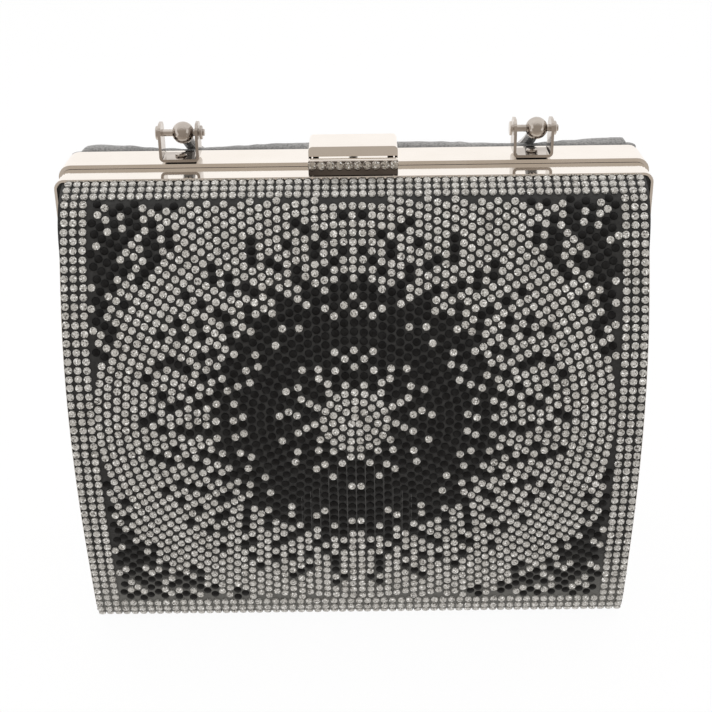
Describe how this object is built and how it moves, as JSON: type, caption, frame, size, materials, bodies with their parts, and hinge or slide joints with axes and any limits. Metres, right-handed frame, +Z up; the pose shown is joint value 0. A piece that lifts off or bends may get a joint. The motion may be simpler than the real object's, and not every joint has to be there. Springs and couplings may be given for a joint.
{
  "type": "evening clutch",
  "caption": "Hinged hard-framed evening clutch with a curved front panel, padded back, fold-over clasp and a swinging arched handle.",
  "frame": {"origin": "under the middle of the closed bag's whole outline, folded-back handle included, on the surface that it stands on", "axes": "+X to the right seen from the stone-covered front, +Y to the padded back, +Z up"},
  "size_m": [0.1866, 0.1102, 0.1635],
  "materials": {
    "nickel": "polished",
    "smoked_nickel": "polished, darkened",
    "steel": "plain turned",
    "shell": "metallised moulding",
    "stone_backing": "black mesh that carries glass stones",
    "velvet": "short pile",
    "satin": "satin weave",
    "lacquer": "gloss"
  },
  "bodies": {
    "rear_half": {"rear_frame": "nickel", "rear_shell": "shell", "rear_cover": "velvet", "rear_lining": "satin", "hinge_leaf_rear": "steel", "hinge_pin": "steel", "clasp_stud": "steel", "left_bracket": "nickel", "right_bracket": "nickel", "left_bracket_rivet": "nickel", "right_bracket_rivet": "nickel", "left_handle_pin": "nickel", "right_handle_pin": "nickel", "left_pin_ring": "nickel", "right_pin_ring": "nickel"},
    "front_half": {"front_frame": "nickel", "front_shell": "shell", "front_panel": "stone_backing", "front_lining": "satin", "hinge_leaf_front": "steel", "clasp_base": "smoked_nickel", "clasp_pin": "steel", "clasp_rivet_left": "nickel", "clasp_rivet_right": "nickel"},
    "clasp": {"clasp_bar": "nickel"},
    "handle": {"handle_bar": "lacquer", "left_ball_end": "nickel", "right_ball_end": "nickel"}
  },
  "joints": [
    {"name": "front_opening", "type": "hinge", "parent": "rear_half", "child": "front_half", "pos_m": [0, -0.01435, 0.0024], "axis": [1, 0, 0], "range_deg": [0, 80]},
    {"name": "clasp_lift", "type": "hinge", "parent": "front_half", "child": "clasp", "pos_m": [0, -0.01975, 0.1562], "axis": [1, 0, 0], "range_deg": [0, 57]},
    {"name": "handle_swing", "type": "hinge", "parent": "rear_half", "child": "handle", "pos_m": [0, -0.00905, 0.16], "axis": [1, 0, 0], "range_deg": [0, 230]}
  ]
}
